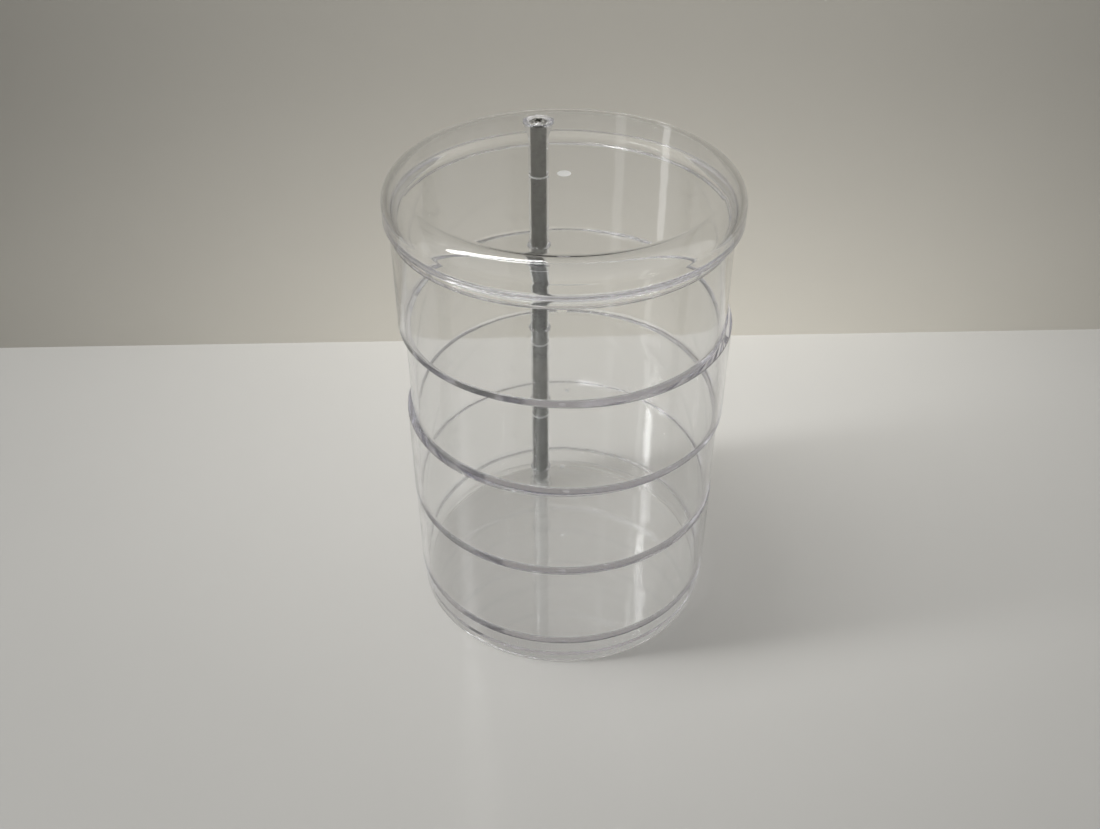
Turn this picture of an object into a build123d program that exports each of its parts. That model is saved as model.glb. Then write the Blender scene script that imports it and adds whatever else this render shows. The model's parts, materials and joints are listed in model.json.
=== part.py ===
from build123d import *
import os

# Swing-out storage tower: four clear round trays under a clear lid, stacked on a low round
# base and threaded on one steel screw that stands off-centre near the back edge. Each tray
# and the lid turns about that screw. Millimetres, +Z up. The origin is on the table, straight
# below the centre of the lid, and the screw lies on the +Y side.

# Trays
tray_count = 4
tray_diameter = 100.0
tray_height = 31.55
tray_wall = 1.8
tray_floor = 1.2
tray_heel_round = 0.6      # outer rounding under each tray
tray_corner_round = 1.0    # inner rounding between floor and wall
rim_round = 0.35           # broken edges of every rim
tier_gap = 0.2             # between a rim and whatever turns above it

# Lid
lid_overhang = 0.2         # from the trays' outside to the skirt's inside
lid_wall = 1.8
lid_skirt = 4.25           # upright part of the skirt, below the round shoulder
shoulder_margin = 2.4      # flat between the collar of the screw and the shoulder
lid_rib_width = 1.5        # ring inside the skirt that covers the top tray's rim
lid_rib_height = 4.9
lid_rib_drop = 3.1         # how far the ring hangs below the skirt
nib_width = 1.6            # moulding nib on the skirt's lower edge
nib_drop = 0.6
nib_angle = -70.5          # its place round the lid, from +X

# Base
base_inset = 0.4           # how far its side lies inside the trays' side
base_height = 9.5
base_wall = 1.8
base_taper = 0.4           # how much smaller the radius is at the table
deck_thickness = 1.6

# Pivot
pivot_inset = 11.4         # from the trays' outside to the screw's axis
shank_diameter = 3.0
bore_clearance = 0.05      # radial, between the screw and every boss
boss_wall = 1.65
boss_round = 0.8           # fillet where a boss meets its floor
boss_end_round = 0.6       # broken edge at both ends of every boss
head_diameter = 6.0
head_height = 2.0
head_clearance = 0.5       # radial, round the head in its well
head_sink = 0.2            # how far the head lies below the collar's rim
collar_wall = 1.35         # round the head's well
collar_rise = 0.3          # how far the collar stands above the top of the lid
collar_taper = 4.5         # under the lid the collar narrows to the boss over this height
driver_width = 0.9         # cross recess
driver_length = 3.5
driver_depth = 1.2

# Screw's lower end and nut
thread_step = 0.05         # from the shank's surface in to the thread's crests
thread_depth = 0.28
thread_pitch = 0.5
thread_runout = 0.4        # thread above the deck
nut_across_flats = 5.5
nut_thickness = 1.8
nut_chamfer = 0.35
nut_clearance = 0.05       # round the thread, and on each flat of the pocket
nut_pocket_wall = 1.4
nut_lift = 0.5             # from the table to the nut
screw_end_lift = 0.3       # from the table to the screw's tip

# Gate marks left by moulding, at the middle of each floor
gate_diameter = 4.0
gate_depth = 0.35
gate_pip_diameter = 1.3

# How far each piece stands swung about the screw, in degrees, seen from above
lid_swing = 0.0
tray_swings = [-0.53, 2.37, 0.33, 0.75]    # from the highest tray down
base_swing = 0.75

# Radii and levels that follow from the sizes above
tray_radius = tray_diameter / 2
lid_radius = tray_radius + lid_overhang + lid_wall
base_radius = tray_radius - base_inset
pivot_offset = tray_radius - pivot_inset
shank_radius = shank_diameter / 2
bore_radius = shank_radius + bore_clearance
boss_radius = bore_radius + boss_wall
thread_radius = shank_radius - thread_step
well_radius = head_diameter / 2 + head_clearance
collar_radius = well_radius + collar_wall
lid_shoulder = lid_radius - (pivot_offset + collar_radius + shoulder_margin)
deck_level = nut_lift + nut_thickness
deck_top = deck_level + deck_thickness
first_floor = base_height + tier_gap
tier_pitch = tray_height + tier_gap
boss_drop = first_floor - deck_top         # each boss hangs this far below its floor
top_rim = first_floor + tray_count * tier_pitch - tier_gap
rib_bottom = top_rim + tier_gap
skirt_bottom = rib_bottom + lid_rib_drop
lid_top = skirt_bottom + lid_skirt + lid_shoulder
collar_top = lid_top + collar_rise
well_floor = collar_top - head_sink - head_height


def turned(*corners):
    """Solid of revolution about Z. A corner is (radius, height) or (radius, height, rounding)."""
    with BuildSketch(Plane.XZ) as section:
        with BuildLine():
            Polyline(*[corner[:2] for corner in corners], close=True)
        make_face()
        for corner in corners:
            if len(corner) == 3:
                spot = section.vertices().sort_by_distance((corner[0], corner[1], 0))[0]
                fillet(spot, corner[2])
    return revolve(section.sketch, axis=Axis.Z)


def at_pivot(shape, level=0.0):
    """Shape moved from the origin to the screw's axis."""
    return Pos(0, pivot_offset, level) * shape


def swung(shape, angle):
    """Shape turned about the screw's axis."""
    return Pos(0, pivot_offset, 0) * Rot(0, 0, angle) * Pos(0, -pivot_offset, 0) * shape


def boss(bottom, top):
    """Round post on the screw's axis."""
    return at_pivot(turned((0, bottom), (boss_radius, bottom, boss_end_round),
                           (boss_radius, top, boss_end_round), (0, top)))


def bore(bottom, top):
    """Hole for the screw, a little longer than the boss it goes through."""
    return at_pivot(turned((0, bottom - 1), (bore_radius, bottom - 1),
                           (bore_radius, top + 1), (0, top + 1)))


def gate_mark(level, inward):
    """Shallow dish with a pip in it; inward is +1 to cut up from below, -1 to cut down."""
    rim, pip, depth = gate_diameter / 2, gate_pip_diameter / 2, inward * gate_depth
    return turned((pip, level), (rim, level), (pip, level + depth))


def boss_foot(shape, level):
    """Edges where the boss meets a floor at this level."""
    return [edge for edge in shape.edges().filter_by(GeomType.CIRCLE)
            if abs(edge.radius - boss_radius) < 1e-3 and abs(edge.center().Z - level) < 1e-3]


def tray():
    """One tray, standing with its floor's underside at Z = 0."""
    inside = tray_radius - tray_wall
    cup = turned((0, 0), (tray_radius, 0, tray_heel_round),
                 (tray_radius, tray_height, rim_round), (inside, tray_height, rim_round),
                 (inside, tray_floor, tray_corner_round), (0, tray_floor))
    body = cup + boss(-boss_drop, tier_pitch - boss_drop)
    body = fillet(boss_foot(body, tray_floor) + boss_foot(body, 0), boss_round)
    return body - bore(-boss_drop, tier_pitch - boss_drop) - gate_mark(0, +1)


def lid():
    """The lid, in place over the top tray."""
    outer, inner = lid_radius, lid_radius - lid_wall
    ceiling = lid_top - lid_wall
    shell = turned((0, lid_top), (0, ceiling), (inner, ceiling, lid_shoulder - lid_wall),
                   (inner, skirt_bottom, rim_round), (outer, skirt_bottom, rim_round),
                   (outer, lid_top, lid_shoulder))
    rib_outer = inner - lid_overhang
    rib_inner, rib_top = rib_outer - lid_rib_width, rib_bottom + lid_rib_height
    middle = inner + lid_wall / 2
    rib = turned((middle, rib_top), (rib_inner, rib_top), (rib_inner, rib_bottom, rim_round),
                 (rib_outer, rib_bottom, rim_round), (rib_outer, skirt_bottom + rim_round),
                 (middle, skirt_bottom + rim_round))
    flare = at_pivot(turned((0, collar_top), (collar_radius, collar_top, rim_round),
                            (collar_radius, ceiling), (boss_radius, ceiling - collar_taper),
                            (0, ceiling - collar_taper)))
    well = at_pivot(turned((0, well_floor), (well_radius, well_floor),
                           (well_radius, collar_top + 1), (0, collar_top + 1)))
    nib = Rot(0, 0, nib_angle) * Pos(outer - lid_wall / 2, 0, skirt_bottom - nib_drop) \
        * Box(lid_wall - 2 * rim_round, nib_width, nib_drop + 2 * rim_round,
              align=(Align.CENTER, Align.CENTER, Align.MIN))
    bottom = rib_bottom - boss_drop
    body = shell + rib + flare + boss(bottom, lid_top - lid_wall / 2) + nib
    return body - well - bore(bottom, collar_top) - gate_mark(lid_top, -1)


def base():
    """Low round foot: a skirt with a deck inside it, and a pocket for the nut under the deck."""
    inside = base_radius - base_wall
    foot = base_radius - base_taper
    skirt = turned((inside, base_height, rim_round), (base_radius, base_height, rim_round),
                   (foot, 0, rim_round), (foot - base_wall, 0, rim_round))
    deck = turned((0, deck_level), (inside, deck_level), (inside, deck_top), (0, deck_top))
    pocket_radius = nut_across_flats / 2 + nut_pocket_wall
    pocket_post = Pos(0, pivot_offset, deck_level / 2 + screw_end_lift / 2) \
        * Cylinder(pocket_radius, deck_level - screw_end_lift)
    pocket = at_pivot(hexagon(nut_across_flats + 2 * nut_clearance, -1, deck_level))
    body = skirt + deck + pocket_post - pocket
    return body - bore(0, deck_top)


def hexagon(across_flats, bottom, top):
    """Six-sided prism on the Z axis."""
    outline = RegularPolygon(across_flats / 2, 6, major_radius=False)
    return Pos(0, 0, bottom) * extrude(outline, top - bottom)


def nut():
    """Thin hexagon nut, held up in the base's pocket against the deck."""
    top = deck_level
    bottom = top - nut_thickness
    corner = nut_across_flats / 2 / 0.866
    envelope = turned((0, bottom), (corner - nut_chamfer, bottom), (corner, bottom + nut_chamfer * 0.6),
                      (corner, top - nut_chamfer * 0.6), (corner - nut_chamfer, top), (0, top))
    hole = thread_radius + nut_clearance
    blank = hexagon(nut_across_flats, bottom, top) & envelope
    return at_pivot(blank - Pos(0, 0, (top + bottom) / 2) * Cylinder(hole, nut_thickness + 2))


def pivot_screw():
    """Long screw: domed cross-recess head in the lid, thread in the nut under the deck."""
    root = thread_radius - thread_depth
    tip = screw_end_lift
    thread_top = deck_top + thread_runout
    profile = [(0, tip), (root, tip)]
    for turn in range(int((thread_top - tip) / thread_pitch - 0.5)):
        low = tip + (turn + 0.5) * thread_pitch
        profile += [(thread_radius, low), (root, low + thread_pitch / 2)]
    profile += [(root, thread_top), (shank_radius, thread_top + thread_depth + thread_step),
                (shank_radius, well_floor)]
    head_radius, head_top = head_diameter / 2, well_floor + head_height
    profile += [(head_radius, well_floor, 0.1 * head_height),
                (head_radius, head_top - 0.45 * head_height, 0.3 * head_height),
                (head_radius / 2, head_top - 0.05 * head_height), (0, head_top)]
    blank = turned(*profile)
    cross = Rectangle(driver_length, driver_width) + Rectangle(driver_width, driver_length)
    recess = Pos(0, 0, head_top) * extrude(cross, -driver_depth, taper=14)
    recess += Pos(0, 0, head_top) * extrude(cross, 0.5)
    return at_pivot(Rot(0, 0, 20) * (blank - recess))


nodes = {"base": swung(base(), base_swing), "lid": swung(lid(), lid_swing),
         "pivot_screw": pivot_screw(), "pivot_nut": swung(nut(), base_swing)}
for tier in range(tray_count):
    level = first_floor + (tray_count - 1 - tier) * tier_pitch
    swing = tray_swings[tier % len(tray_swings)]
    nodes[f"tray_{tier + 1}"] = swung(Pos(0, 0, level) * tray(), swing)

os.makedirs("parts", exist_ok=True)
for name, shape in nodes.items():
    shape.label = name
    export_step(shape, f"parts/{name}.step")
    print(name, len(shape.solids()), "solid", round(shape.volume), "mm3")
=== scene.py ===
# %% [markdown]
# # A swing-out storage tower in clear plastic
#
# Four round trays, a lid and a low base hang on one long steel screw near the back edge, and
# each tray swings out about it. The whole object is polished clear plastic, so almost all that
# is seen of it is light bent by its edges. That asks for true wall thicknesses, true roundings
# and small air gaps, because each of them draws a line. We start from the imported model, which
# fixes every size and place, and build a finer visual piece around each of its nodes.

# %% Load the frame
import json
import math
import bmesh
import bpy
from mathutils import Matrix, Vector

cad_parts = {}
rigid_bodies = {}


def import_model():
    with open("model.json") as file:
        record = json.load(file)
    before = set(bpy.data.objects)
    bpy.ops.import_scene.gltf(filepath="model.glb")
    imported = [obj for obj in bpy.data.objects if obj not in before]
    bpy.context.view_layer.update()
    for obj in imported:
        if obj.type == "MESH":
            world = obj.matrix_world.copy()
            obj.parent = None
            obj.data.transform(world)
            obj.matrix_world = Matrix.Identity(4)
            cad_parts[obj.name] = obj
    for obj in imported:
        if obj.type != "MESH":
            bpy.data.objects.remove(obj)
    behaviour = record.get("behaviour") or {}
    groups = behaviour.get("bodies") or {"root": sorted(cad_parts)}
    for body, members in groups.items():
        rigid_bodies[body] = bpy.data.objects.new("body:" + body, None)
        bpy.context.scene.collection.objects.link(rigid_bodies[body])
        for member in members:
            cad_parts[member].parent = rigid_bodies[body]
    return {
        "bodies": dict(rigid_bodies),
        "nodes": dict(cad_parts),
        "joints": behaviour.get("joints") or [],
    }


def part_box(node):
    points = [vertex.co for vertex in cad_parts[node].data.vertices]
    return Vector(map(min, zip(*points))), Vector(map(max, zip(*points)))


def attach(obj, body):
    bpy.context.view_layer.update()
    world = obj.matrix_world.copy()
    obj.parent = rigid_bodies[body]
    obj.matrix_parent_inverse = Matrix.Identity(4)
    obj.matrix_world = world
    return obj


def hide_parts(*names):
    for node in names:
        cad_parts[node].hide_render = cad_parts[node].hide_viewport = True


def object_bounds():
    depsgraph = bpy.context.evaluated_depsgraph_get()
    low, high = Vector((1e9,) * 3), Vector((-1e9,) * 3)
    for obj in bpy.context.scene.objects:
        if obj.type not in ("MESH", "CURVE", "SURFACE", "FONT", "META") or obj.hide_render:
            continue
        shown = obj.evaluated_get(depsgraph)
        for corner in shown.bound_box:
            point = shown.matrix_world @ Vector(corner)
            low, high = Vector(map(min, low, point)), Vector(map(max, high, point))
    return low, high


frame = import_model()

for stray in [o for o in bpy.data.objects
              if o not in frame["nodes"].values() and o not in frame["bodies"].values()]:
    bpy.data.objects.remove(stray)
cad_low, cad_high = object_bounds()
print("frame", [round(v, 4) for v in cad_low], [round(v, 4) for v in cad_high])

# %% [markdown]
# ## The camera
#
# The tower is looked down on from the front and a little to the left, from about 40 cm away.
# A camera can be aimed with a tracking constraint or turned by three angles. Angles are used
# here, because a slight roll belongs to the view and a constraint would take it out.

# %% Set up the camera
scene = bpy.context.scene
eye = Vector((-0.06127, -0.28419, 0.28692))
heading, pitch, roll = (math.radians(a) for a in (-11.383, 52.597, 0.013))
bpy.ops.object.camera_add(location=eye)
camera = bpy.context.object
camera.name = "camera"
camera.matrix_world = (Matrix.Translation(eye) @ Matrix.Rotation(heading, 4, "Z")
                       @ Matrix.Rotation(pitch, 4, "X") @ Matrix.Rotation(roll, 4, "Z"))
camera.data.sensor_width = 36.0
camera.data.lens = 36.45
camera.data.clip_start = 0.01
scene.camera = camera
print("camera to lid", round((eye - Vector((0, 0, cad_high.z))).length, 3), "m")

# %% [markdown]
# ## How clear plastic is rendered
#
# A ray that crosses the tower meets up to thirty surfaces, so the renderer must let it bend and
# reflect that often, or the middle of the tower goes black. The default view transform would
# also grey the pale table, so the plain one is chosen.

# %% Set the colour view and the number of bounces
scene.view_settings.view_transform = "Standard"
scene.cycles.max_bounces = 64
scene.cycles.transmission_bounces = 48
scene.cycles.glossy_bounces = 48
scene.cycles.transparent_max_bounces = 48
print("bounces", scene.cycles.max_bounces)

# %% [markdown]
# ## Small tools for shaping
#
# Every operator works on what is selected, so each helper first clears the selection and then
# picks faces or edges by where they lie. All lengths below are in millimetres, because that is
# how a mould is drawn, and `mm` turns them into metres.

# %% Helpers: start, pick, push
mm = 0.001
SIDES, SMALL_SIDES, SCREW_SIDES = 256, 96, 64    # facets of a wall, of a boss, of the screw
LEVEL_SLACK, RING_SLACK = 0.02, 0.03             # how near a corner has to be, to be picked


def start():
    """Object mode with nothing selected."""
    if bpy.context.object and bpy.context.object.mode != "OBJECT":
        bpy.ops.object.mode_set(mode="OBJECT")
    bpy.ops.object.select_all(action="DESELECT")


def choose(piece):
    """Object mode with only this piece selected."""
    start()
    piece.select_set(True)
    bpy.context.view_layer.objects.active = piece


def edit(piece):
    """Edit mode on one piece."""
    choose(piece)
    bpy.ops.object.mode_set(mode="EDIT")


def disc(name, radius, low, high, sides=SIDES, top_radius=None, y=0.0):
    """A round blank between two levels, with one many-sided face at each end."""
    start()
    bpy.ops.mesh.primitive_cone_add(
        vertices=sides, radius1=radius * mm, radius2=(top_radius or radius) * mm,
        depth=(high - low) * mm, end_fill_type="NGON",
        location=(0, y * mm, (low + high) / 2 * mm))
    piece = bpy.context.object
    piece.name = name
    bpy.ops.object.transform_apply(location=True, rotation=True, scale=True)
    return piece


def pick(kind, test):
    """In edit mode, select the faces or edges whose every corner passes the test (in mm)."""
    bpy.ops.mesh.select_mode(type="FACE" if kind == "faces" else "EDGE")
    bpy.ops.mesh.select_all(action="DESELECT")
    mesh = bmesh.from_edit_mesh(bpy.context.object.data)
    found = [e for e in getattr(mesh, kind) if all(test(v.co / mm) for v in e.verts)]
    for element in found:
        element.select_set(True)
    bmesh.update_edit_mesh(bpy.context.object.data)
    return len(found)


def at_level(level):
    """A test for pick: is the corner at this level?"""
    return lambda p: abs(p.z - level) < LEVEL_SLACK


def on_ring(radius, level, y=0.0):
    """A test for pick: is the corner on the ring of this radius and level?"""
    return lambda p: (abs(p.z - level) < LEVEL_SLACK
                      and abs(math.hypot(p.x, p.y - y) - radius) < RING_SLACK)


def sink(level, width, depth):
    """Inset the flat end at this level, then push the new face in or out along Z."""
    pick("faces", at_level(level))
    bpy.ops.mesh.inset(thickness=width * mm)
    bpy.ops.mesh.extrude_region_move(TRANSFORM_OT_translate={"value": (0, 0, depth * mm)})


def draw_out(radius, level, path):
    """Draw the selected round end along a path of (radius, level) steps."""
    for new_radius, new_level in path:
        bpy.ops.mesh.extrude_region_move(
            TRANSFORM_OT_translate={"value": (0, 0, (new_level - level) * mm)})
        bpy.ops.transform.resize(value=(new_radius / radius, new_radius / radius, 1))
        radius, level = new_radius, new_level


def soften(radius, level, amount, segments, y=0.0):
    """Round the ring of edges at this radius and level."""
    count = pick("edges", on_ring(radius, level, y))
    bpy.ops.mesh.bevel(offset=amount * mm, segments=segments, profile=0.5, affect="EDGES",
                       clamp_overlap=False)
    return count


print("tools ready")

# %% [markdown]
# ## Joining and cutting
#
# Bosses, bores and gate marks are added and taken away with boolean modifiers, as a mould maker
# adds a core. The exact solver is slower than the fast one but keeps thin walls closed. At the
# end a weighted-normal modifier keeps flat floors optically flat beside their small roundings:
# without it a clear floor would bend the view like a lens.

# %% Helpers: join, cut and finish a piece
DOUBLES_WITHIN = 0.002


def combine(piece, tool, operation):
    """Apply a boolean of the tool on the piece, and delete the tool."""
    choose(piece)
    step = piece.modifiers.new("step", "BOOLEAN")
    step.object, step.operation, step.solver = tool, operation, "EXACT"
    bpy.ops.object.modifier_apply(modifier=step.name)
    bpy.data.objects.remove(tool)
    return piece


def finish_piece(piece, angle=40):
    """Merge stray doubles, turn normals outwards, shade smooth and weight the normals."""
    edit(piece)
    bpy.ops.mesh.select_all(action="SELECT")
    bpy.ops.mesh.remove_doubles(threshold=DOUBLES_WITHIN * mm)
    bpy.ops.mesh.normals_make_consistent(inside=False)
    bpy.ops.object.mode_set(mode="OBJECT")
    bpy.ops.object.shade_smooth_by_angle(angle=math.radians(angle))
    weigh = piece.modifiers.new("weigh", "WEIGHTED_NORMAL")
    weigh.keep_sharp, weigh.weight = True, 80
    bpy.ops.object.modifier_apply(modifier=weigh.name)
    mesh = bmesh.new()
    mesh.from_mesh(piece.data)
    loose = sum(1 for e in mesh.edges if len(e.link_faces) != 2)
    print(piece.name, len(piece.data.polygons), "faces,", loose, "open edges,",
          round(mesh.calc_volume() / mm ** 3), "mm3")
    mesh.free()
    return piece

print("ready to join and cut")

# %% [markdown]
# ## Where things stand
#
# Each tier is swung by a degree or so, as a hand leaves it, and the frame knows by how much:
# the middle of a node's box is the middle of its round wall, and its direction from the screw
# gives the swing. So every piece is modelled once, straight, and then turned about the screw.

# %% Read the pivot and each node's swing
pivot = Vector(frame["joints"][0]["pos_m"])
PIVOT = round(pivot.y / mm, 3)


def swing_of(node):
    """How far a node is swung about the screw, in radians."""
    low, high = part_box(node)
    middle = (low + high) / 2 - pivot
    return math.atan2(middle.x, -middle.y)


def stand(piece, swing, level):
    """Turn a piece about the screw and lift it, then bake that into its mesh."""
    choose(piece)
    piece.matrix_world = (Matrix.Translation(pivot + Vector((0, 0, level)))
                          @ Matrix.Rotation(swing, 4, "Z") @ Matrix.Translation(-pivot))
    bpy.ops.object.transform_apply(location=True, rotation=True, scale=True)


for node in ("lid", "tray_1", "tray_2", "tray_3", "tray_4", "base"):
    print(node, "swing", round(math.degrees(swing_of(node)), 2))

# %% [markdown]
# ## A tray
#
# A tray is a round cup with a flat floor. It could be spun from a drawn section, but a blank
# that is inset and pushed down gives the same wall and leaves clean rings to round: the heel
# outside, the rim, and the wide soft corner inside where the floor meets the wall.

# %% Model the cup
TRAY_RADIUS, TRAY_HEIGHT, WALL, FLOOR = 50.0, 31.55, 1.8, 1.2
HEEL_ROUND, RIM_ROUND, CORNER_ROUND = 0.6, 0.2, 1.0
tray = disc("tray", TRAY_RADIUS, 0, TRAY_HEIGHT)
edit(tray)
sink(TRAY_HEIGHT, WALL, FLOOR - TRAY_HEIGHT)
soften(TRAY_RADIUS, 0, HEEL_ROUND, segments=6)
soften(TRAY_RADIUS, TRAY_HEIGHT, RIM_ROUND, segments=4)
soften(TRAY_RADIUS - WALL, TRAY_HEIGHT, RIM_ROUND, segments=4)
soften(TRAY_RADIUS - WALL, FLOOR, CORNER_ROUND, segments=8)
bpy.ops.object.mode_set(mode="OBJECT")
print("cup", [round(v / mm, 2) for v in tray.dimensions])

# %% [markdown]
# The boss is the tube that the screw runs through. It starts below the floor, where it stands
# on the boss of the tray underneath, and ends inside the tray at the same height. Its two feet
# are filleted into the floor, which shows as a pale ring round the dark screw. The mould fills
# each tray through the middle of its floor and leaves a shallow gate mark there.

# %% Add the boss, its fillets, the bore and the gate mark
BOSS_RADIUS, BORE_RADIUS, BOSS_DROP, PITCH = 3.2, 1.495, 5.8, 31.75
BOSS_END_ROUND, BOSS_FILLET = 0.6, 0.8
GATE_RADIUS, PIP_RADIUS, GATE_DEPTH = 2.0, 0.65, 0.35
OVERCUT = 0.07                   # how far the gate's cutter starts outside the face
HAIR = 0.01                      # air left between two faces that touch


def small_disc(name, radius, low, high):
    """A round blank on the screw's axis."""
    return disc(name, radius, low, high, sides=SMALL_SIDES, y=PIVOT)


def gate_cutter(level, inward):
    """A cone that sinks a gate mark into the face at this level: +1 cuts upwards, -1 down."""
    mouth = GATE_RADIUS + (GATE_RADIUS - PIP_RADIUS) * OVERCUT / GATE_DEPTH
    if inward > 0:
        return disc("gate", mouth, level - OVERCUT, level + GATE_DEPTH, sides=SMALL_SIDES // 2,
                    top_radius=PIP_RADIUS)
    return disc("gate", PIP_RADIUS, level - GATE_DEPTH, level + OVERCUT, sides=SMALL_SIDES // 2,
                top_radius=mouth)


post = small_disc("post", BOSS_RADIUS, -BOSS_DROP + HAIR, PITCH - BOSS_DROP - HAIR)
edit(post)
for level in (-BOSS_DROP + HAIR, PITCH - BOSS_DROP - HAIR):
    soften(BOSS_RADIUS, level, BOSS_END_ROUND, segments=6, y=PIVOT)
combine(tray, post, "UNION")
edit(tray)
feet = [soften(BOSS_RADIUS, level, BOSS_FILLET, segments=6, y=PIVOT) for level in (FLOOR, 0)]
combine(tray, small_disc("bore", BORE_RADIUS, -9, 27), "DIFFERENCE")
combine(tray, gate_cutter(0, +1), "DIFFERENCE")
finish_piece(tray)
print("edges at the boss's feet", feet)


def mark_scar(piece, level, reach, ends):
    """Give the rough skin, the second material, to the gate mark at this level, out to this
    radius, and to the rim of each end of the boss."""
    count = 0
    for face in piece.data.polygons:
        spot = face.center / mm
        out = math.hypot(spot.x, spot.y - PIVOT)
        sloping = abs(face.normal.z) < 0.99
        torn = (spot.xy.length < reach and abs(spot.z - level) < GATE_DEPTH + 0.05
                and (sloping or spot.xy.length < PIP_RADIUS))
        at_end = min(abs(spot.z - end) for end in ends) < BOSS_END_ROUND / 2
        if torn or (at_end and BOSS_RADIUS - 0.7 < out < BOSS_RADIUS + 0.1):
            face.material_index = 1
            count += 1
    return count


HEEL_BACK = 5.0                  # the scuffs end this far behind the middle


def mark_heel(piece):
    """Give the scuffed skin, the third material, to the front half of the heel."""
    count = 0
    for face in piece.data.polygons:
        spot = face.center / mm
        outside = spot.xy.length > TRAY_RADIUS - HEEL_ROUND - 0.1
        if outside and spot.z < FLOOR + 0.4 and spot.y < HEEL_BACK:
            face.material_index = 2
            count += 1
    return count


TRAY_SCAR, LID_SCAR = 1.15, 2.2   # radius of the torn plastic at the gate
for number in range(3):
    tray.data.materials.append(None)
print("scar faces", mark_scar(tray, 0, TRAY_SCAR, (-BOSS_DROP, PITCH - BOSS_DROP)),
      "heel faces", mark_heel(tray))

# %% Copy the tray to its four places
trays = {}
for node in ("tray_1", "tray_2", "tray_3", "tray_4"):
    copy = tray.copy()
    copy.data = tray.data.copy()
    copy.name = node + "_clear"
    bpy.context.collection.objects.link(copy)
    stand(copy, swing_of(node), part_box(node)[1].z - TRAY_HEIGHT * mm)
    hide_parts(node)
    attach(copy, node)
    trays[node] = copy
bpy.data.objects.remove(tray)
print("trays", sorted(trays))

# %% [markdown]
# ## The lid
#
# The lid is a shallow cap whose flat top rolls over a wide quarter-round shoulder into a short
# skirt. Inside the skirt a ring hangs down over the top tray's rim. The shoulder is the most
# lens-like part of the tower: it stretches and breaks whatever stands behind it. A bevel of the
# full radius makes the outside, and the inside follows it ring by ring.

# %% Model the cap
LID_RADIUS, LID_WALL, SHOULDER, SKIRT = 52.0, 1.8, 6.15, 4.25
LID_TOP = SKIRT + SHOULDER       # measured up from the skirt's lower edge
RIB_OUTER, RIB_WIDTH, RIB_DROP, RIB_HEIGHT = 50.0, 1.5, 3.1, 4.9
GROOVE, RIB_SINK = 0.35, 0.8     # between skirt and ring, and inside the ring before its taper
LID_EDGE_ROUND, RIB_ROUND = 0.3, 0.15
lid = disc("lid_clear", LID_RADIUS, 0, LID_TOP)
edit(lid)
soften(LID_RADIUS, LID_TOP, SHOULDER, segments=24)
inside, rib_inner = LID_RADIUS - LID_WALL, RIB_OUTER - RIB_WIDTH
sink(0, LID_WALL, GROOVE)
sink(GROOVE, inside - RIB_OUTER, -GROOVE - RIB_DROP)
sink(-RIB_DROP, RIB_WIDTH, RIB_SINK)
bend = SHOULDER - LID_WALL
taper_low, taper_rise = RIB_SINK - RIB_DROP, RIB_HEIGHT - RIB_SINK
sweep = [math.radians(15 * step) for step in range(1, 7)]
arc = [math.radians(6 * step) for step in range(16)]
draw_out(rib_inner, taper_low,
         [(inside - (inside - rib_inner) * (1 + math.cos(2 * a)) / 2,
           taper_low + taper_rise * 2 * a / math.pi) for a in sweep]
         + [(inside - bend + bend * math.cos(a), SKIRT + bend * math.sin(a)) for a in arc])
for radius, level, amount in ((LID_RADIUS, 0, LID_EDGE_ROUND), (inside, 0, LID_EDGE_ROUND),
                              (RIB_OUTER, -RIB_DROP, RIB_ROUND),
                              (rib_inner, -RIB_DROP, RIB_ROUND)):
    soften(radius, level, amount, segments=3)
bpy.ops.object.mode_set(mode="OBJECT")
print("cap", [round(v / mm, 2) for v in lid.dimensions])

# %% [markdown]
# Round the screw's head the lid carries a raised collar, and under the top the same collar
# narrows to the boss like a funnel. A small nib left by the mould hangs on the skirt's edge.

# %% Add the collar, the boss, the nib and the cuts
COLLAR, COLLAR_RISE, COLLAR_ROUND, TAPER = 4.85, 0.3, 0.25, 4.5
WELL_RADIUS, HEAD_SEAT = 3.5, 2.2
NIB_SIZE, NIB_ROUND, NIB_ANGLE = Vector((1.1, 1.6, 1.3)), 0.25, -70.5
NIB_LEVEL = 0.05                 # its middle, from the skirt's lower edge
COLLAR_TOP, CEILING = LID_TOP + COLLAR_RISE, LID_TOP - LID_WALL
BOSS_END = -RIB_DROP - BOSS_DROP
ABOVE = 14                       # clear of the lid's top, where cutters end
collar = small_disc("collar", COLLAR, CEILING, COLLAR_TOP)
edit(collar)
soften(COLLAR, COLLAR_TOP, COLLAR_ROUND, segments=3, y=PIVOT)
pick("faces", at_level(CEILING))
draw_out(COLLAR, CEILING, [(BOSS_RADIUS, CEILING - TAPER), (BOSS_RADIUS, BOSS_END + HAIR)])
soften(BOSS_RADIUS, BOSS_END + HAIR, BOSS_END_ROUND, segments=6, y=PIVOT)
combine(lid, collar, "UNION")
combine(lid, small_disc("well", WELL_RADIUS, COLLAR_TOP - HEAD_SEAT, ABOVE), "DIFFERENCE")
combine(lid, small_disc("bore", BORE_RADIUS, -12, ABOVE), "DIFFERENCE")
combine(lid, gate_cutter(LID_TOP, -1), "DIFFERENCE")
start()
bpy.ops.mesh.primitive_cube_add(size=1, scale=NIB_SIZE * mm,
                                location=((LID_RADIUS - LID_WALL / 2) * mm, 0, NIB_LEVEL * mm))
nib = bpy.context.object
edit(nib)
pick("edges", lambda p: p.z < 0)
bpy.ops.mesh.bevel(offset=NIB_ROUND * mm, segments=4, affect="EDGES")
bpy.ops.object.mode_set(mode="OBJECT")
nib.matrix_world = Matrix.Rotation(math.radians(NIB_ANGLE), 4, "Z") @ nib.matrix_world
combine(lid, nib, "UNION")
finish_piece(lid)
for number in range(2):
    lid.data.materials.append(None)
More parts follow.
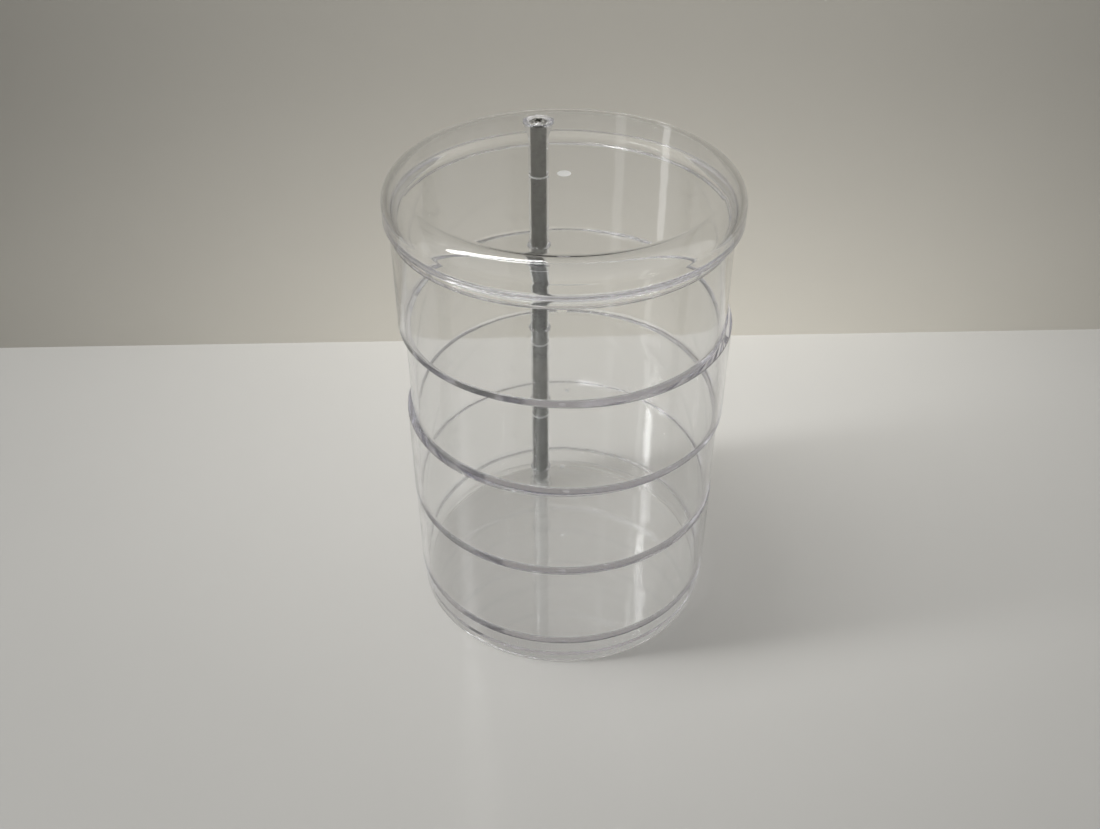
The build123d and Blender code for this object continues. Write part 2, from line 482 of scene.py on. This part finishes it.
print("scar faces", mark_scar(lid, LID_TOP, LID_SCAR, (BOSS_END,)))
stand(lid, swing_of("lid"), cad_high.z - COLLAR_TOP * mm)
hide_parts("lid")
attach(lid, "lid")

# %% [markdown]
# ## The base
#
# The base is a low ring with a deck inside it. Its outside is slightly smaller at the table, so
# a cone blank is the right start. Under the deck stands a short post with a hexagon pocket that
# keeps the nut from turning.

# %% Model the base
BASE_TOP_RADIUS, BASE_FOOT_RADIUS, BASE_HEIGHT = 49.6, 49.2, 9.5
DECK_LOW, DECK_HIGH, NUT_FLATS = 2.3, 3.9, 5.5
BASE_ROUND, POCKET_WALL, POCKET_GAP, POCKET_LIFT = 0.35, 1.4, 0.05, 0.3
slope = (BASE_TOP_RADIUS - BASE_FOOT_RADIUS) / BASE_HEIGHT
base = disc("base_clear", BASE_FOOT_RADIUS, 0, BASE_HEIGHT, top_radius=BASE_TOP_RADIUS)
edit(base)
for level, ring, depth in ((BASE_HEIGHT, BASE_TOP_RADIUS, DECK_HIGH - BASE_HEIGHT),
                           (0, BASE_FOOT_RADIUS, DECK_LOW)):
    sink(level, WALL, depth)
    follow = 1 + slope * depth / (ring - WALL)
    bpy.ops.transform.resize(value=(follow, follow, 1))
for radius, level in ((BASE_FOOT_RADIUS, 0), (BASE_FOOT_RADIUS - WALL, 0),
                      (BASE_TOP_RADIUS, BASE_HEIGHT), (BASE_TOP_RADIUS - WALL, BASE_HEIGHT)):
    soften(radius, level, BASE_ROUND, segments=4)
post = small_disc("post", NUT_FLATS / 2 + POCKET_WALL, POCKET_LIFT, DECK_LOW + 0.5)
combine(base, post, "UNION")
pocket = disc("pocket", (NUT_FLATS / 2 + POCKET_GAP) / math.cos(math.pi / 6), -1, DECK_LOW,
              sides=6, y=PIVOT)
pocket.data.transform(Matrix.Translation(pivot) @ Matrix.Rotation(math.pi / 6, 4, "Z")
                      @ Matrix.Translation(-pivot))
combine(base, pocket, "DIFFERENCE")
combine(base, small_disc("bore", BORE_RADIUS, 1, 6), "DIFFERENCE")
finish_piece(base)
stand(base, swing_of("base"), 0)
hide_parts("base")
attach(base, "base")

# %% [markdown]
# ## The pivot screw
#
# One long machine screw carries everything. Its head is a low dome with a cross recess, and its
# shank is plain down to the nut. The dome and shank come from a round blank that is drawn out
# ring by ring, and the recess is cut with a tapered cross.

# %% Model the screw
SHANK, HEAD, HEAD_ROUND = 1.5, 3.0, 0.2
THREAD, ROOT, THREAD_TOP, TIP = 1.45, 1.17, 4.3, 0.3
RUNOUT = 0.4                     # from the thread's top up to the plain shank
SEAT = cad_high.z / mm - HEAD_SEAT + HAIR
screw = disc("pivot_screw_steel", SHANK, THREAD_TOP + RUNOUT, SEAT, sides=SCREW_SIDES, y=PIVOT)
edit(screw)
pick("faces", at_level(SEAT))
dome = ((1.05, 3.0), (1.27, 2.93), (1.47, 2.76), (1.64, 2.44), (1.78, 1.97), (1.87, 1.4),
        (1.93, 0.75))            # (height above the seat, radius)
draw_out(SHANK, SEAT, [(HEAD, SEAT)] + [(radius, SEAT + rise) for rise, radius in dome])
HEAD_TOP = SEAT + dome[-1][0]
soften(HEAD, SEAT, HEAD_ROUND, segments=3, y=PIVOT)
bpy.ops.object.mode_set(mode="OBJECT")
print("screw", [round(v / mm, 2) for v in screw.dimensions])

# %% Cut the cross recess
SLOT, ARM, NARROWING, CROSS_ANGLE = 0.9, 1.3, 0.62, 20
DEEPENING = 2.4                  # the cross is this much deeper than its slots are wide
start()
bpy.ops.mesh.primitive_cube_add(size=SLOT * mm, location=(0, 0, 0))
cross = bpy.context.object
edit(cross)
bpy.ops.mesh.select_mode(type="FACE")
bpy.ops.mesh.select_all(action="DESELECT")
mesh = bmesh.from_edit_mesh(cross.data)
for face in mesh.faces:
    face.select_set(abs(face.normal.z) < 0.5)
bmesh.update_edit_mesh(cross.data)
bpy.ops.mesh.extrude_faces_move(TRANSFORM_OT_shrink_fatten={"value": ARM * mm})
pick("faces", lambda p: p.z < 0)
bpy.ops.transform.resize(value=(NARROWING, NARROWING, 1))
bpy.ops.object.mode_set(mode="OBJECT")
cross.matrix_world = (Matrix.Translation(pivot + Vector((0, 0, (HEAD_TOP - 0.1) * mm)))
                      @ Matrix.Rotation(math.radians(CROSS_ANGLE), 4, "Z")
                      @ Matrix.Diagonal((1, 1, DEEPENING, 1)))
combine(screw, cross, "DIFFERENCE")
print("recess cut", len(screw.data.polygons), "faces")

# %% [markdown]
# The thread is a helix, and it is made on rings: the lower end is drawn out in many thin rings,
# and each corner is then pulled in or out by how far round and how far down it lies. That keeps
# the screw one closed skin, which a swept thread rarely is.

# %% Draw out the thread
PITCH_OF_THREAD, RINGS = 0.5, 64
edit(screw)
pick("faces", at_level(THREAD_TOP + RUNOUT))
draw_out(SHANK, THREAD_TOP + RUNOUT,
         [(ROOT, THREAD_TOP - step * (THREAD_TOP - TIP) / RINGS) for step in range(RINGS + 1)])
mesh = bmesh.from_edit_mesh(screw.data)
for corner in mesh.verts:
    if (TIP + 0.2) * mm < corner.co.z < (THREAD_TOP - 0.1) * mm:
        out = (corner.co - pivot).xy
        turn = math.atan2(out.y, out.x) / (2 * math.pi)
        phase = (corner.co.z / mm / PITCH_OF_THREAD - turn) % 1.0
        reach = ROOT + (THREAD - ROOT) * (1 - abs(2 * phase - 1))
        out = out.normalized() * reach * mm
        corner.co.x, corner.co.y = pivot.x + out.x, pivot.y + out.y
bmesh.update_edit_mesh(screw.data)
finish_piece(screw, angle=35)
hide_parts("pivot_screw")
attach(screw, "base")

# %% [markdown]
# ## The nut
#
# A thin hexagon nut whose corners are turned down on both faces. The corners are made as on a
# lathe: the hexagon is cut by a double cone, so each flat gets its curved edge.

# %% Model the nut
NUT_THICK, NUT_CHAMFER, THREAD_GAP = 1.8, 0.32, 0.05
NUT_CORNER = NUT_FLATS / 2 / math.cos(math.pi / 6)
nut = disc("pivot_nut_steel", NUT_CORNER, -NUT_THICK / 2, NUT_THICK / 2, sides=6)
nut.data.transform(Matrix.Rotation(math.pi / 6, 4, "Z"))
turned = disc("turned", NUT_CORNER + 2 * HAIR, -NUT_THICK / 2, NUT_THICK / 2, sides=SCREW_SIDES)
edit(turned)
for level in (-NUT_THICK / 2, NUT_THICK / 2):
    pick("edges", at_level(level))
    bpy.ops.mesh.bevel(offset=NUT_CHAMFER * mm, segments=1, affect="EDGES")
combine(nut, turned, "INTERSECT")
combine(nut, disc("hole", THREAD + THREAD_GAP, -3, 3, sides=SCREW_SIDES), "DIFFERENCE")
choose(nut)
nut_level = DECK_LOW - NUT_THICK / 2 - HAIR
nut.matrix_world = (Matrix.Translation(pivot + Vector((0, 0, nut_level * mm)))
                    @ Matrix.Rotation(swing_of("base"), 4, "Z"))
bpy.ops.object.transform_apply(location=True, rotation=True, scale=True)
finish_piece(nut, angle=25)
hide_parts("pivot_nut")
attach(nut, "base")

# %% [markdown]
# ## Clear styrene
#
# Moulded clear styrene is glass-like, with a slight grey-violet cast that shows only where the
# light travels along a wall, as in a rim. A tinted surface would grey the flat walls too, so the
# cast is put in the volume. The surface itself is never quite flat: a wide, shallow noise bends
# reflections a little, and a finer one leaves faint handling haze. Shadow rays pass straight
# through, because a path tracer finds light through bent glass only by luck. They are dimmed
# where they meet a wall edge-on, as there the plastic mirrors the light away: this is what
# gives the tower its soft shadow.

# %% Material: clear styrene
IOR = 1.59
CAST, CAST_DENSITY = (0.80, 0.79, 0.86, 1), 12.0


def new_material(name):
    """A material with no nodes yet, its node tree, and a function that adds a node to it."""
    material = bpy.data.materials.new(name)
    material.use_nodes = True
    tree = material.node_tree
    tree.nodes.clear()

    def add(kind, **settings):
        node = tree.nodes.new(kind)
        for key, value in settings.items():
            if hasattr(node, key):
                setattr(node, key, value)
            else:
                node.inputs[key.replace("_", " ")].default_value = value
        return node

    return material, tree, add


def wire(tree, source, output, target, entry):
    """Link a node's output to another node's input."""
    tree.links.new(source.outputs[output], target.inputs[entry])


def mix(add, low, high, **settings):
    """A Mix node between two colours."""
    node = add("ShaderNodeMix", data_type="RGBA", **settings)
    for key, colour in (("A", low), ("B", high)):
        if colour:
            node.inputs[key].default_value = (*colour, 1)
    return node


def let_through(tree, add, skin, straight, soft_light=True):
    """Send shadow rays, and soft light if asked, straight through the skin."""
    passing = add("ShaderNodeLightPath")
    blend = add("ShaderNodeMixShader")
    result = add("ShaderNodeOutputMaterial")
    wire(tree, passing, "Is Shadow Ray", blend, 0)
    if soft_light:
        either = add("ShaderNodeMath", operation="MAXIMUM")
        wire(tree, passing, "Is Shadow Ray", either, 0)
        wire(tree, passing, "Is Diffuse Ray", either, 1)
        wire(tree, either, "Value", blend, 0)
    wire(tree, skin, "BSDF", blend, 1)
    wire(tree, straight, "BSDF", blend, 2)
    wire(tree, blend, "Shader", result, "Surface")
    return passing, result


def stain(tree, add, result):
    """Put the plastic's cast in the volume."""
    cast = add("ShaderNodeVolumeAbsorption", Color=CAST, Density=CAST_DENSITY)
    wire(tree, cast, "Volume", result, "Volume")


styrene, tree, add = new_material("clear_styrene")
place = add("ShaderNodeTexCoord")
wide = add("ShaderNodeTexNoise", Scale=42.0, Detail=2.0, Roughness=0.4)
fine = add("ShaderNodeTexNoise", Scale=900.0, Detail=4.0, Roughness=0.6)
haze = add("ShaderNodeMapRange", From_Min=0.35, From_Max=0.75, To_Min=0.0, To_Max=0.055)
tone = mix(add, (1.0, 1.0, 1.0), (0.985, 0.988, 0.985))
ripple = add("ShaderNodeBump", Strength=0.18, Distance=0.0004)
plastic = add("ShaderNodeBsdfPrincipled", IOR=IOR)
plastic.inputs["Transmission Weight"].default_value = 1.0
straight = add("ShaderNodeBsdfTransparent")
edge_on = add("ShaderNodeFresnel", IOR=IOR)
grazing = add("ShaderNodeMapRange", From_Min=0.08, From_Max=0.3)
dimmed = add("ShaderNodeMath", operation="MULTIPLY")
thrown = mix(add, (1.0, 1.0, 1.0), (0.35, 0.35, 0.36))
passing, result = let_through(tree, add, plastic, straight)
stain(tree, add, result)
for noise in (wide, fine):
    wire(tree, place, "Object", noise, "Vector")
wire(tree, fine, "Fac", haze, "Value")
wire(tree, haze, "Result", plastic, "Roughness")
wire(tree, wide, "Fac", tone, "Factor")
wire(tree, tone, "Result", plastic, "Base Color")
wire(tree, wide, "Fac", ripple, "Height")
wire(tree, ripple, "Normal", plastic, "Normal")
wire(tree, edge_on, "Fac", grazing, "Value")
wire(tree, grazing, "Result", dimmed, 0)
wire(tree, passing, "Is Shadow Ray", dimmed, 1)
wire(tree, dimmed, "Value", thrown, "Factor")
wire(tree, thrown, "Result", straight, "Color")
for piece in [*trays.values(), lid]:
    piece.data.materials[0] = styrene
base.data.materials.clear()
base.data.materials.append(styrene)
print("clear pieces", len(trays) + 2)

# %% [markdown]
# Where each moulding was broken off its runner the plastic is torn and rough. The scar needs its
# own skin: the same clear material, but frosted by a coarse grain, so that it catches the light.

# %% Material: torn styrene at the gates
scar, tree, add = new_material("torn_styrene")
place = add("ShaderNodeTexCoord")
grain = add("ShaderNodeTexNoise", Scale=2600.0, Detail=3.0, Roughness=0.7)
torn = add("ShaderNodeMapRange", From_Min=0.3, From_Max=0.7, To_Min=0.25, To_Max=0.6)
bite = add("ShaderNodeBump", Strength=0.8, Distance=0.0001)
skin = add("ShaderNodeBsdfPrincipled", IOR=IOR)
skin.inputs["Base Color"].default_value = (0.96, 0.97, 0.96, 1)
skin.inputs["Transmission Weight"].default_value = 0.6
let_through(tree, add, skin, add("ShaderNodeBsdfTransparent", Color=(0.9, 0.9, 0.9, 1)),
            soft_light=False)
wire(tree, place, "Object", grain, "Vector")
wire(tree, grain, "Fac", torn, "Value")
wire(tree, torn, "Result", skin, "Roughness")
wire(tree, grain, "Fac", bite, "Height")
wire(tree, bite, "Normal", skin, "Normal")
for piece in [*trays.values(), lid]:
    piece.data.materials[1] = scar
print("scars on", len(trays) + 1, "pieces")

# %% [markdown]
# A polished heel pipes the image of the dark screw along the floor and shows it as a black
# patch. Only the highest tray shows one, so the other heels are taken to be faintly scuffed, as
# they might be where they rub over a rim. That is an assumption: haze from the mould would do
# the same. Only the front half of a heel is scuffed here, where the patch would be seen.

# %% Material: scuffed heel
scuffed, tree, add = new_material("scuffed_heel")
place = add("ShaderNodeTexCoord")
rub = add("ShaderNodeTexNoise", Scale=600.0, Detail=4.0, Roughness=0.6)
worn = add("ShaderNodeMapRange", From_Min=0.3, From_Max=0.7, To_Min=0.03, To_Max=0.1)
skin = add("ShaderNodeBsdfPrincipled", IOR=IOR)
skin.inputs["Base Color"].default_value = (0.97, 0.97, 0.98, 1)
skin.inputs["Transmission Weight"].default_value = 1.0
straight = add("ShaderNodeBsdfTransparent", Color=(0.9, 0.9, 0.9, 1))
stain(tree, add, let_through(tree, add, skin, straight)[1])
wire(tree, place, "Object", rub, "Vector")
wire(tree, rub, "Fac", worn, "Value")
wire(tree, worn, "Result", skin, "Roughness")
for node, piece in trays.items():
    piece.data.materials[2] = styrene if node == "tray_1" else scuffed
print("scuffed heels", sum(1 for piece in trays.values() if piece.data.materials[2] is scuffed))

# %% [markdown]
# ## Steel
#
# The screw's head and its nut are bright plated steel, while the shank is dull and dark, with
# the faint rings that drawing and handling leave. One function makes all three, each with its
# own tones and its own relief: rings along the shank, and on the head an uneven skin, bruised by
# the driver, whose relief sparkles. The head's tone also runs from near black to near white in
# small patches, painted glints and dark specks that add to that sparkle. Its cross recess is
# given the dark shank steel, as painted shade. The smooth walls modelled here would also mirror
# the dark shank as a second column down the tower. The real walls show none, so the shank is
# made paler where it is seen mirrored: a shortcut, and not how steel behaves. Level with the
# highest tray's floor it stays dark, for the patch described above.

# %% Material: plated steel
def plated_steel(name, dark, bright, along, across=60, bite=0.00002, patch=420.0):
    """Metal with worn patches that set its tone between dark and bright, and a fine relief of this
    scale along Z and across it: rings where it's finer along Z, and a hammered, sparkling skin
    where both are alike. Where dark and bright lie far apart, as on the head, the patches are
    painted glints and dark specks."""
    steel, tree, add = new_material(name)
    place = add("ShaderNodeTexCoord")
    stretch = add("ShaderNodeMapping")
    stretch.inputs["Scale"].default_value = (across, across, along)
    rings = add("ShaderNodeTexNoise", Scale=1.0, Detail=5.0, Roughness=0.65)
    patches = add("ShaderNodeTexNoise", Scale=patch, Detail=3.0, Roughness=0.6)
    worn = add("ShaderNodeMapRange", From_Min=0.38, From_Max=0.62)
    tone = mix(add, dark, bright)
    rough = add("ShaderNodeMapRange", From_Min=0.3, From_Max=0.7, To_Min=0.22, To_Max=0.42)
    groove = add("ShaderNodeBump", Strength=0.25, Distance=bite)
    metal = add("ShaderNodeBsdfPrincipled", Metallic=1.0)
    result = add("ShaderNodeOutputMaterial")
    wire(tree, place, "Object", stretch, "Vector")
    wire(tree, stretch, "Vector", rings, "Vector")
    wire(tree, place, "Object", patches, "Vector")
    wire(tree, patches, "Fac", worn, "Value")
    wire(tree, worn, "Result", tone, "Factor")
    wire(tree, tone, "Result", metal, "Base Color")
    wire(tree, patches, "Fac", rough, "Value")
    wire(tree, rough, "Result", metal, "Roughness")
    wire(tree, rings, "Fac", groove, "Height")
    wire(tree, groove, "Normal", metal, "Normal")
    wire(tree, metal, "BSDF", result, "Surface")
    return steel, tree, add, tone, metal


shank_steel_and_recess_shade, tree, add, tone, metal = plated_steel("shank_steel_and_recess_shade", (0.002, 0.004, 0.002),
                                                   (0.042, 0.048, 0.04), 9000)
passing = add("ShaderNodeLightPath")
mirrored = add("ShaderNodeMath", operation="GREATER_THAN")
mirrored.inputs[1].default_value = 0.5
paler = mix(add, None, (0.6, 0.61, 0.58))
place = add("ShaderNodeTexCoord")
height = add("ShaderNodeSeparateXYZ")
at_floor = add("ShaderNodeMath", operation="COMPARE")
at_floor.inputs[1].default_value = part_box("tray_1")[1].z - (TRAY_HEIGHT - FLOOR / 2) * mm
at_floor.inputs[2].default_value = 1.0 * mm
elsewhere = add("ShaderNodeMath", operation="SUBTRACT", use_clamp=True)
wire(tree, place, "Object", height, "Vector")
wire(tree, height, "Z", at_floor, 0)
wire(tree, passing, "Glossy Depth", mirrored, 0)
wire(tree, mirrored, "Value", elsewhere, 0)
wire(tree, at_floor, "Value", elsewhere, 1)
wire(tree, elsewhere, "Value", paler, "Factor")
wire(tree, tone, "Result", paler, "A")
wire(tree, paler, "Result", metal, "Base Color")
# The head's tone runs from near black to near white: painted glints and dark specks.
head_steel_painted_glints = plated_steel("head_steel_painted_glints", (0.05, 0.05, 0.05), (0.95, 0.95, 0.94), along=1500,
                          across=1500, bite=0.002, patch=1300)[0]
nut_steel = plated_steel("nut_steel", (0.5, 0.51, 0.52), (0.66, 0.67, 0.68), 3000)[0]
# The cross recess keeps the dark shank steel, as painted shade in the recess.
RECESS_REACH, RECESS_FLOOR = 2.1, 1.1    # from the screw's axis, and above the seat
screw.data.materials.clear()
screw.data.materials.append(shank_steel_and_recess_shade)
screw.data.materials.append(head_steel_painted_glints)
for face in screw.data.polygons:
    spot = face.center / mm
    recess = math.hypot(spot.x, spot.y - PIVOT) < RECESS_REACH and (
        abs(face.normal.z) < 0.6 or spot.z < SEAT + RECESS_FLOOR)
    face.material_index = 1 if spot.z > SEAT - 0.01 and not recess else 0
nut.data.materials.clear()
nut.data.materials.append(nut_steel)
print("head faces", sum(1 for face in screw.data.polygons if face.material_index == 1))

# %% [markdown]
# ## Table, wall and light
#
# Clear plastic shows its surroundings, so they are kept plain: a pale, slightly glossy table
# and a warm grey wall close behind, so tall that the floors mirror nothing else. Both carry
# painted light falloff: their colour darkens with the distance from the middle, and the wall's
# also towards its top, as painted shade in place of a room's uneven light. The wall is hidden
# from behind, so that the tower can be looked at from every side.

# %% Build the table and the wall
SHEET, WALL_HEIGHT = 3.0, 1.5
WALL_BEHIND, WALL_TURN = 0.1448, math.radians(-9.6)
BELOW = 0.05                     # the table's top lies this far below the base's edge


def flat_sheet(name):
    """A square sheet, lying flat."""
    start()
    bpy.ops.mesh.primitive_grid_add(x_subdivisions=2, y_subdivisions=2, size=SHEET)
    sheet = bpy.context.object
    sheet.name = name
    return sheet


def matte(name, low, high, scale, roughness, painted_falloffs, one_sided=False):
    """Painted or laminated board with a faint mottle. Each fade is painted shade that darkens the
    colour along some axes, in place of light falling off. A fade is (axes that count, middle,
    where it starts, where it ends, tone at the end)."""
    paint, tree, add = new_material(name)
    place = add("ShaderNodeTexCoord")
    mottle = add("ShaderNodeTexNoise", Scale=scale, Detail=4.0, Roughness=0.6)
    tone = mix(add, low, high)
    wire(tree, place, "Object", mottle, "Vector")
    wire(tree, mottle, "Fac", tone, "Factor")
    for axes, middle, near, far, end in painted_falloffs:
        flat = add("ShaderNodeVectorMath", operation="MULTIPLY")
        flat.inputs[1].default_value = axes
        apart = add("ShaderNodeVectorMath", operation="DISTANCE")
        apart.inputs[1].default_value = middle
        fade = add("ShaderNodeMapRange", interpolation_type="SMOOTHSTEP", From_Min=near,
                   From_Max=far)
        shade = mix(add, None, (end, end, end), blend_type="MULTIPLY")
        wire(tree, place, "Object", flat, 0)
        wire(tree, flat, "Vector", apart, 0)
        wire(tree, apart, "Value", fade, "Value")
        wire(tree, fade, "Result", shade, "Factor")
        wire(tree, tone, "Result", shade, "A")
        tone = shade
    board = add("ShaderNodeBsdfPrincipled", Roughness=roughness)
    result = add("ShaderNodeOutputMaterial")
    wire(tree, tone, "Result", board, "Base Color")
    if one_sided:
        side = add("ShaderNodeNewGeometry")
        clear = add("ShaderNodeBsdfTransparent")
        facing = add("ShaderNodeMixShader")
        wire(tree, side, "Backfacing", facing, 0)
        wire(tree, board, "BSDF", facing, 1)
        wire(tree, clear, "BSDF", facing, 2)
        wire(tree, facing, "Shader", result, "Surface")
    else:
        wire(tree, board, "BSDF", result, "Surface")
    return paint


table = flat_sheet("table")
table.location.z = -BELOW * mm
# Painted light falloff: the table's colour darkens away from a point behind the tower.
away = ((1, 1, 0), (0.075, 0.128, 0), 0.0, 0.36, 0.58)
table.data.materials.append(matte("table_top", (0.69, 0.68, 0.65), (0.73, 0.72, 0.69), 6.0, 0.25,
                                  (away,)))
wall = flat_sheet("wall")
wall.matrix_world = (Matrix.Translation((0, WALL_BEHIND, WALL_HEIGHT / 2))
                     @ Matrix.Rotation(WALL_TURN, 4, "Z")
                     @ Matrix.Rotation(math.pi / 2, 4, "X"))
edit(wall)
bpy.ops.mesh.select_all(action="SELECT")
bpy.ops.transform.resize(value=(1, 1, WALL_HEIGHT / SHEET), center_override=wall.location)
bpy.ops.object.mode_set(mode="OBJECT")
# Painted shade on the wall: its colour darkens towards its sides and towards its top.
sideways = ((1, 0, 0), (0.07, 0, 0), 0.0, 0.4, 0.36)
upwards = ((0, 1, 0), (0, -WALL_HEIGHT / 2, 0), 0.0, 0.16, 0.63)
wall.data.materials.append(matte("wall_paint_and_painted_shade", (0.81, 0.775, 0.69), (0.87, 0.835, 0.745), 9.0, 0.7,
                                 (sideways, upwards), one_sided=True))
print("wall stands", round((wall.location - pivot).length, 3), "m from the screw, up to",
      round(max((wall.matrix_world @ v.co).z for v in wall.data.vertices), 2), "m")

# %% [markdown]
# ## Light
#
# The light is a long tube under the ceiling on the left, which runs as a streak round the lid's
# shoulder, a soft world from the open side of the room, and two narrow upright strips on the
# wall, above what the camera sees of it: the floors and the lid mirror them as pale streaks.

# %% Light the scene
STRIP_LOW, STRIP_HIGH = 0.18, 0.55
BEFORE_WALL = 0.004


def lamp(name, width, height, power, location, target):
    """A one-sided lamp of this size, aimed at a point."""
    bpy.ops.object.light_add(type="AREA", location=location)
    light = bpy.context.object
    light.name = name
    light.data.shape = "RECTANGLE"
    light.data.size, light.data.size_y = width, height
    light.data.energy = power
    light.rotation_euler = (Vector(target) - Vector(location)).to_track_quat("-Z", "Y").to_euler()
    return light


def strip_on_wall(name, bearing, width, brightness):
    """A thin upright lamp just before the wall, on this bearing from the camera."""
    toward = Vector((math.sin(math.radians(bearing)), math.cos(math.radians(bearing))))
    across = Vector((-math.sin(WALL_TURN), math.cos(WALL_TURN)))
    reach = (Vector((0, WALL_BEHIND)) - eye.xy).dot(across) - BEFORE_WALL
    spot = eye.xy + reach / toward.dot(across) * toward
    level, height = (STRIP_LOW + STRIP_HIGH) / 2, STRIP_HIGH - STRIP_LOW
    power = brightness * math.pi * width * height
    return lamp(name, width, height, power, (*spot, level), (*(spot - across), level))


tube = lamp("ceiling_tube", 1.5, 0.16, 13.0, (-0.85, 0.04, 1.2), (-0.85, 0.04, 0))
tube.rotation_euler = (0, 0, 0)
strip_on_wall("strip_right", 17.7, 0.003, 0.6)
strip_on_wall("strip_left", 15.2, 0.004, 0.2)
world = bpy.data.worlds.new("room")
scene.world = world
world.use_nodes = True
sky = world.node_tree.nodes["Background"]
sky.inputs["Color"].default_value = (0.65, 0.65, 0.65, 1)
sky.inputs["Strength"].default_value = 1.0
